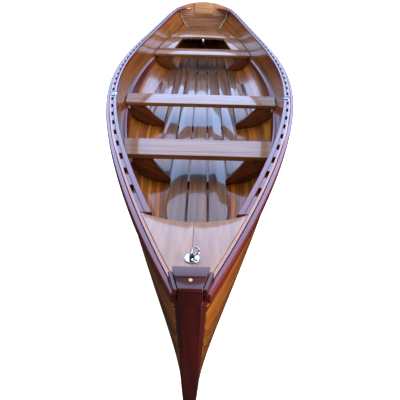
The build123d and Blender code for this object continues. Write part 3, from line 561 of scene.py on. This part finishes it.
def strake(name, cad_node, side, strips, nominal, top, bottom, material):
    """A strake between two edges, its planed top made pale by a painted sky reflection, and duller on the
    inside.
    """
    def place(share, inward, across):
        s = plank_station(share)
        high = top(s)
        low = bottom(s)
        return on_hull(s, high + (low - high) * across / nominal, inward)

    bm = squared_bar(PLANK, nominal, PLANK_CUTS, rows=2 * strips - 1)
    for face in bm.faces:
        centre = face.calc_center_median()
        # Top-edge faces get the pale material, which is a painted sky reflection; inside faces get the
        # duller inside varnish.
        if centre.z < TOP_EDGE:
            face.material_index = 1
        elif centre.y > PLANK - TOP_EDGE:
            face.material_index = 2
    finished(name, bent(bm, place, LENGTH, side), material, stands_for=[cad_node], smooth=60,
             more=[PAINTED_SKY_SHEEN_EDGE, INSIDE_STRIPS])


def lower_edge(i):
    def at(s):
        rest = girth(s) - SHEER_STRAKE - FEATURE_STRIP
        return SHEER_STRAKE + FEATURE_STRIP + rest * i / LOWER_STRAKES
    return at


for side_name, side in SIDES:
    strake(f"sheer_strips_{side_name}", f"sheer_strake_{side_name}", side, 2, 2 * STRIP,
           lambda s: 0.0, lambda s: SHEER_STRAKE - GLUE_LINE / 2, CEDAR_STRIPS)
    strake(f"inlaid_strip_{side_name}", f"feature_strip_{side_name}", side, 1, FEATURE_STRIP,
           lambda s: SHEER_STRAKE, lambda s: SHEER_STRAKE + FEATURE_STRIP, INLAY)
    for i in range(LOWER_STRAKES):
        width = (girth(LENGTH / 2) - SHEER_STRAKE - FEATURE_STRIP) / LOWER_STRAKES
        strips = round(width / STRIP)
        strake(f"hull_strips_{i + 1}_{side_name}", f"planking_{i + 1}_{side_name}", side, strips,
               strips * STRIP, lower_edge(i), lower_edge(i + 1), CEDAR_STRIPS)


# ======================================================================================
# Stem head, cheeks and foredeck. The head is a bevelled mahogany block with a cheek each
# side of it. The deck is two matched boards of pinkish cedar let in between the planks.
# ======================================================================================

DECK_DARK = (150, 108, 82)
DECK_LIGHT = (190, 148, 120)
HEAD_EASE = 0.0015
DECK_EASE = 0.0008

DECK_CEDAR = varnished("deck_cedar", DECK_DARK, DECK_LIGHT, ring_scale=9.0, figure=0.25)
eased("stem_head", "stem_head_block", HEAD_EASE, (1, 0, 0), MAHOGANY)
eased("deck_beam", "deck_beam_timber", KEEL_EASE, (1, 0, 0), MAHOGANY)
for side_name, side in SIDES:
    eased(f"stem_cheek_{side_name}", f"stem_cheek_rail_{side_name}", KEEL_EASE, (0, 1, 0), MAHOGANY)
    eased(f"foredeck_{side_name}", f"foredeck_board_{side_name}", DECK_EASE, (0, 1, 0), DECK_CEDAR)


# ======================================================================================
# Bow ring: a polished stainless eye, screwed down through the deck, with a free ring.
# ======================================================================================

def polished(name, colour, rough):
    """Polished metal with faint rubbing marks."""
    material, tree, shader = new_material(name)
    place = node(tree, "ShaderNodeTexCoord").outputs["Object"]
    marks = node(tree, "ShaderNodeTexNoise", {"Vector": place, "Scale": 900.0, "Detail": 3.0})
    tones = node(tree, "ShaderNodeValToRGB", {"Fac": marks.outputs["Fac"]})
    tones.color_ramp.elements[0].color = shown(*[c * 0.9 for c in colour])
    tones.color_ramp.elements[1].color = shown(*colour)
    tree.links.new(tones.outputs["Color"], shader.inputs["Base Color"])
    roughness = node(tree, "ShaderNodeMath", {0: marks.outputs["Fac"], 1: 0.12, 2: rough},
                     operation="MULTIPLY_ADD")
    tree.links.new(roughness.outputs[0], shader.inputs["Roughness"])
    shader.inputs["Metallic"].default_value = 1.0
    return material


STAINLESS = polished("polished_stainless", (236, 238, 242), 0.05)
for cad_node, body in (("bow_eye", "hull"), ("bow_ring", "ring")):
    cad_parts[cad_node].data.materials.clear()
    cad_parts[cad_node].data.materials.append(STAINLESS)


# ======================================================================================
# Gunwale: a mahogany outwale outside the planks, and an inwale held off them by blocks.
# The spaces between the blocks are the slots, whose ends are round. All are glued.
# ======================================================================================

OUTWALE_DEPTH = 0.028
OUTWALE_EASE = 0.005
SLOT_WIDTH = 0.010
SLOT_LENGTH = 0.050
SLOT_PITCH = 0.131
FIRST_SLOT = 0.462
SLOTS_AHEAD_OF_OARLOCK = 9
INWALE_WIDTH = 0.018
INWALE_DEPTH = 0.024
INWALE_EASE = 0.003
INWALE_START = 0.292
DECK_CORNER = 0.300
DECK_HOLLOW = 0.042         # the fore end is cut to the hollow edge of the deck
DECK_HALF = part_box("foredeck_port")[1][0]
OUTWALE_START = 0.012
OUTWALE_END = LENGTH - 0.003
TAPER_END = 0.26            # the outwale is thinned forward of here
TAPER = 5 / 17              # by this much of its width at the stem
RAIL_SEGMENTS = 3
OUTWALE_CUTS = 110
INWALE_CUTS = 100
BEDDING = 0.0004
TRANSOM_THICKNESS = 0.022
RAIL_DARK = (72, 20, 24)
RAIL_LIGHT = (140, 44, 44)


def rail_point(s, inward, drop):
    """A point by its distance inboard of the planking's outside and below the sheer."""
    step = 0.001
    slope = (sheer_half(s + step) - sheer_half(s - step)) / (2 * step)
    norm = hypot(slope, 1)
    height = sheer_height(s)
    lean = tilt(s) * (height - sheer_height(LENGTH) - CROWN)
    y = s - LENGTH / 2 + lean + inward * slope / norm
    return Vector((sheer_half(s) - inward / norm, y, height - drop))


def plank_inward(s, drop):
    """How far inboard of the sheer the inside of the planking is, at a drop below it."""
    slope = (sheer_half(s + 0.001) - sheer_half(s)) / 0.001
    inner = on_hull(s, drop, PLANK)
    return (sheer_half(s) - inner.x) / hypot(slope, 1)


def deck_edge(x):
    """The station just behind the deck's after edge, at a distance from the middle line."""
    return DECK_CORNER - DECK_HOLLOW * (1 - (x / DECK_HALF)**2) + BEDDING


RAIL_END = LENGTH - TRANSOM_THICKNESS / cos(RAKE) - 0.0015
RAIL_WOOD = varnished("rail_mahogany", RAIL_DARK, RAIL_LIGHT)

for side_name, side in SIDES:
    def outer(share, outward, drop):
        s = OUTWALE_START + (OUTWALE_END - OUTWALE_START) * share
        taper = 1 - TAPER * max(0.0, 1 - s / TAPER_END)
        hull_drop = walk(max(s, STEM_DEPTH), drop)[0] - sheer_half(max(s, STEM_DEPTH))
        bulge = max(hull_drop, 0.0) if outward < 0.004 else 0.0
        return rail_point(s, -(BEDDING + bulge + outward * taper), drop)

    bm = squared_bar(OUTWALE_WIDTH, OUTWALE_DEPTH, OUTWALE_CUTS, ease=OUTWALE_EASE, segments=RAIL_SEGMENTS)
    finished(f"outwale_rail_{side_name}", bent(bm, outer, LENGTH, side), RAIL_WOOD,
             stands_for=[f"outwale_{side_name}"])

    def inner(share, inward, drop):
        s = INWALE_START + (RAIL_END - INWALE_START) * share
        if share == 0:
            s = deck_edge(rail_point(s, PLANK + SLOT_WIDTH + inward, drop).x)
        return rail_point(s, PLANK + SLOT_WIDTH + inward, drop)

    bm = squared_bar(INWALE_WIDTH, INWALE_DEPTH, INWALE_CUTS, ease=INWALE_EASE, segments=RAIL_SEGMENTS)
    finished(f"inwale_rail_{side_name}", bent(bm, inner, LENGTH, side), RAIL_WOOD,
             stands_for=[f"inwale_{side_name}"])


def rail_table():
    """Stations with their distances along the rail from the stem."""
    step = 0.005
    table = [(0.0, 0.0)]
    s = 0.0
    far = 0.0
    while s < RAIL_END:
        far += sqrt(step**2 + (sheer_half(s + step) - sheer_half(s))**2
                    + (sheer_height(s + step) - sheer_height(s))**2)
        s += step
        table.append((s, far))
    return table


RAIL_TABLE = rail_table()


def station_at(distance):
    for (s0, d0), (s1, d1) in zip(RAIL_TABLE, RAIL_TABLE[1:]):
        if d0 <= distance <= d1:
            return s0 + (s1 - s0) * (distance - d0) / (d1 - d0)
    return RAIL_TABLE[-1][0]


def slot_distances():
    """Middles of the slots along the rail, with a longer gap at the oarlock."""
    middles = []
    i = 0
    while True:
        shift = 0.5 if i >= SLOTS_AHEAD_OF_OARLOCK else 0.0
        middle = FIRST_SLOT + (i + shift) * SLOT_PITCH
        if middle > RAIL_TABLE[-1][1] - SLOT_PITCH:
            return middles
        middles.append(middle)
        i += 1


SLOTS = slot_distances()
SPACER_ROWS = 8


def spacer_blocks():
    """The blocks of both sides as one piece, their ends hollowed to round the slots."""
    whole = bpy.data.meshes.new("joined")
    joined = bmesh.new()
    half = SLOT_LENGTH / 2
    starts = [INWALE_START] + [station_at(d + half) for d in SLOTS]
    ends = [station_at(d - half) for d in SLOTS] + [RAIL_END]
    hollow = SLOT_WIDTH / 2
    for side_name, side in SIDES:
        for start, end in zip(starts, ends):
            def place(share, drop, across):
                s = start + (end - start) * share
                t = 2 * across / SLOT_WIDTH - 1
                cut = hollow * sqrt(max(0.0, 1 - t * t))
                if share < 0.01 and start > INWALE_START:
                    s += cut
                if share > 0.99 and end < RAIL_END - 0.01:
                    s -= cut
                if share < 0.01 and start == INWALE_START:
                    s = deck_edge(rail_point(s, PLANK + across, drop).x)
                near = plank_inward(s, 0) + BEDDING
                if drop > INWALE_DEPTH / 2:
                    near = max(near, plank_inward(s, INWALE_DEPTH) + BEDDING)
                far = PLANK + SLOT_WIDTH - BEDDING
                return rail_point(s, near + (far - near) * across / SLOT_WIDTH, drop)

            bm = squared_bar(INWALE_DEPTH, SLOT_WIDTH, 2, rows=SPACER_ROWS - 1)
            bent(bm, place, end - start, side)
            bm.to_mesh(whole)
            bm.free()
            joined.from_mesh(whole)
    return joined


finished("gunwale_blocks", spacer_blocks(), RAIL_WOOD, stands_for=["gunwale_spacers"],
         smooth=30)


# ======================================================================================
# Oarlock sockets: a satin stainless plate set on the rail, with a tube below it that is
# bored for the pin of the oarlock.
# ======================================================================================

SOCKET_EASE = 0.0004
SATIN = polished("satin_stainless", (214, 216, 222), 0.16)
for side_name, side in SIDES:
    eased(f"oarlock_socket_{side_name}", f"oarlock_plate_{side_name}", SOCKET_EASE, (0, 1, 0), SATIN,
          sharp_angle=50, flat=0.1)


# ======================================================================================
# Risers, thwarts and stern bench. The risers are bent round inside the planks. The seats
# are planed cedar boards with rounded edges, screwed down and plugged at their ends.
# ======================================================================================

SEAT_DARK = (112, 70, 36)
SEAT_LIGHT = (184, 138, 92)
SEAT_CEDAR = varnished("seat_cedar", SEAT_DARK, SEAT_LIGHT, ring_scale=7.0, figure=0.3)
SEAT_EASE = 0.003
THWART_EASE = 0.0015
RISER_EASE = 0.003
RISER_CUTS = 90
SEAT_TOP = 0.250
SEAT_THICKNESS = 0.029
SEAT_BEDDING = 0.0003
FORWARD_THWART = 1.317
BENCH_FRONT = 3.704
BENCH_SLOPE = radians(2.6)
RISER_START = 0.420
RISER_END = 5.070
RISER_BOW_RISE = 0.075
RISER_THICKNESS = 0.020
RISER_DEPTH = 0.036
HALVINGS = 24               # enough to find a height on the planking exactly


def riser_top(s):
    """Underside of the seats: level amidships, rising forward and along the stern bench."""
    seat = SEAT_TOP - SEAT_THICKNESS - SEAT_BEDDING
    if s < FORWARD_THWART:
        return seat + RISER_BOW_RISE * ((FORWARD_THWART - s) / (FORWARD_THWART - RISER_START))**2
    return seat + tan(BENCH_SLOPE) * max(s - BENCH_FRONT, 0)


@lru_cache(maxsize=None)
def half_inside(place_s, z):
    """Half breadth inside the planking at a place along the boat and a height."""
    s = place_s - tilt(place_s) * (z - sheer_height(LENGTH) - CROWN)
    low = 0.0
    high = girth(s)
    for _ in range(HALVINGS):
        below = (low + high) / 2
        if on_hull(s, below, PLANK).z > z:
            low = below
        else:
            high = below
    return on_hull(s, low, PLANK).x


for side_name, side in SIDES:
    def along_planks(share, inward, drop):
        s = RISER_START + (RISER_END - RISER_START) * share
        z = riser_top(s) - RISER_DEPTH * round(drop / RISER_DEPTH)
        at_face = half_inside(s, z) - 2 * BEDDING
        return Vector((at_face - inward, s - LENGTH / 2, riser_top(s) - drop))

    bm = squared_bar(RISER_THICKNESS, RISER_DEPTH, RISER_CUTS, ease=RISER_EASE)
    finished(f"riser_rail_{side_name}", bent(bm, along_planks, LENGTH, side), RAIL_WOOD,
             stands_for=[f"riser_{side_name}"])
for seat in ("forward_thwart", "middle_thwart"):
    eased(seat, f"{seat}_board", THWART_EASE, (1, 0, 0), SEAT_CEDAR)
eased("bench_bar", "bench_front_board", SEAT_EASE, (1, 0, 0), SEAT_CEDAR)
eased("bench_after", "bench_after_board", SEAT_EASE, (0, 1, 0), SEAT_CEDAR)
eased("bench_side_port", "bench_board_port", SEAT_EASE, (0.1, 1, 0), SEAT_CEDAR)
eased("bench_side_starboard", "bench_board_starboard", SEAT_EASE, (-0.1, 1, 0), SEAT_CEDAR)


# ======================================================================================
# Screw plugs: round wooden plugs glued into the holes over the screws and pared flush,
# pale on the stem head and dark on the thwarts.
# ======================================================================================

PLUG_RADIUS = 0.0055
PLUG_SIDES = 16
PLUG_RISE = 0.0002
PLUG_OUTER = 0.026          # from the end and the edges of a seat board to its outer plugs
PLUG_INNER = 0.104          # from its end to the middle one
PLUG_DARK = (26, 10, 8)
PLUG_LIGHT = (66, 34, 22)
PLUG_WOOD = varnished("screw_plugs", PLUG_DARK, PLUG_LIGHT, ring_scale=40.0)


def plugs(name, places, radius, material):
    """Short round pegs, as one piece."""
    joined = bmesh.new()
    for place in places:
        made = bmesh.ops.create_circle(joined, cap_ends=True, segments=PLUG_SIDES,
                                        radius=radius)
        top = bmesh.ops.extrude_face_region(joined, geom=made["verts"][0].link_faces[:])
        raised = [v for v in top["geom"] if isinstance(v, bmesh.types.BMVert)]
        bmesh.ops.translate(joined, verts=raised, vec=(0, 0, 2 * PLUG_RISE))
        bmesh.ops.translate(joined, verts=made["verts"] + raised,
                            vec=Vector(place) - Vector((0, 0, PLUG_RISE)))
    bmesh.ops.recalc_face_normals(joined, faces=joined.faces)
    layer = joined.verts.layers.float_vector.new("grain")
    for v in joined.verts:
        v[layer] = (v.co.x * 9, v.co.y * 9, v.co.z)
    finished(name, joined, material)


def seat_plugs(cad_node):
    low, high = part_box(cad_node)
    places = []
    for side in (1, -1):
        for y in (low[1] + PLUG_OUTER, high[1] - PLUG_OUTER):
            end = min(half_inside(y + LENGTH / 2, high[2] - SEAT_THICKNESS), high[0])
            places.append((side * (end - PLUG_OUTER), y, high[2]))
        places.append((side * (high[0] - PLUG_INNER), (low[1] + high[1]) / 2, high[2]))
    return places


head_low, head_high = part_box("stem_head")
HEAD_STEP = 0.0015
HEAD_PLUG_RADIUS = PLUG_RADIUS * 0.7
PALE_PLUG = varnished("pale_plug", (196, 170, 120), (232, 214, 170), ring_scale=40.0)
plugs("head_plug", [(0.0, head_low[1] + STEM_DEPTH - PLUG_RADIUS, head_high[2] - HEAD_STEP)],
      HEAD_PLUG_RADIUS, PALE_PLUG)
plugs("thwart_plugs", seat_plugs("forward_thwart") + seat_plugs("middle_thwart"), PLUG_RADIUS, PLUG_WOOD)


# ======================================================================================
# Frames and floorboards: sawn half frames that stand on the keelson under each seat, and
# cedar slats screwed down on them, with a plug over each screw.
# ======================================================================================

FRAME_DARK = (76, 34, 22)
FRAME_LIGHT = (142, 78, 52)
FLOOR_DARK = (92, 60, 36)
FLOOR_LIGHT = (148, 108, 74)
FRAME_EASE = 0.004
FLOOR_EASE = 0.002
BOARD_PAIRS = range(1, 5)
FRAME_WOOD = varnished("frame_wood", FRAME_DARK, FRAME_LIGHT)
FLOOR_CEDAR = varnished("floorboard_cedar", FLOOR_DARK, FLOOR_LIGHT, ring_scale=8.0, figure=0.2)

for station in ("forward", "middle", "stern"):
    for side_name, side in SIDES:
        eased(f"{station}_frame_{side_name}", f"{station}_frame_timber_{side_name}", FRAME_EASE,
              (side, 0, 0.55), FRAME_WOOD, segments=3)
eased("floorboard_middle", "floor_slat_middle", FLOOR_EASE, (0, 1, 0), FLOOR_CEDAR)
for pair in BOARD_PAIRS:
    for side_name, side in SIDES:
        eased(f"floorboard_{pair}_{side_name}", f"floor_slat_{pair}_{side_name}", FLOOR_EASE, (0, 1, 0),
              FLOOR_CEDAR)


FRAME_SETBACK = 0.003       # behind the fore edge of the seat above
FRAME_THICKNESS = 0.028
FLOOR_PLUG_RADIUS = PLUG_RADIUS * 0.8


def floor_plugs():
    """A plug in each board over each frame that it crosses."""
    places = []
    pairs = [f"floorboard_{pair}_{side_name}" for pair in BOARD_PAIRS for side_name, side in SIDES]
    for seat in ("forward_thwart", "middle_thwart", "bench_bar"):
        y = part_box(seat)[0][1] + FRAME_SETBACK + FRAME_THICKNESS / 2
        for board in ["floorboard_middle"] + pairs:
            low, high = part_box(board)
            if low[1] < y - FRAME_THICKNESS and high[1] > y + FRAME_THICKNESS:
                places.append(((low[0] + high[0]) / 2, y, high[2]))
    return places


plugs("floor_plugs", floor_plugs(), FLOOR_PLUG_RADIUS, PLUG_WOOD)


# ======================================================================================
# Transom, knees and motor pad: a raked, crowned board between the planks, tied to the
# rails by hollowed knees, with a paler block inside its top for an outboard's clamp.
# ======================================================================================

STERN_EASE = 0.003
TRANSOM_WOOD = varnished("transom_wood", (132, 84, 64), (206, 158, 134), ring_scale=6.0, figure=0.4)
PAD_WOOD = varnished("pad_ash", (168, 120, 82), (206, 166, 130), ring_scale=10.0)
eased("transom", "transom_board", STERN_EASE, (1, 0, 0), TRANSOM_WOOD)
eased("motor_pad", "motor_pad_block", STERN_EASE, (1, 0, 0), PAD_WOOD)
for side_name, side in SIDES:
    eased(f"quarter_knee_{side_name}", f"quarter_knee_timber_{side_name}", STERN_EASE, (side, -1, 0),
          RAIL_WOOD)
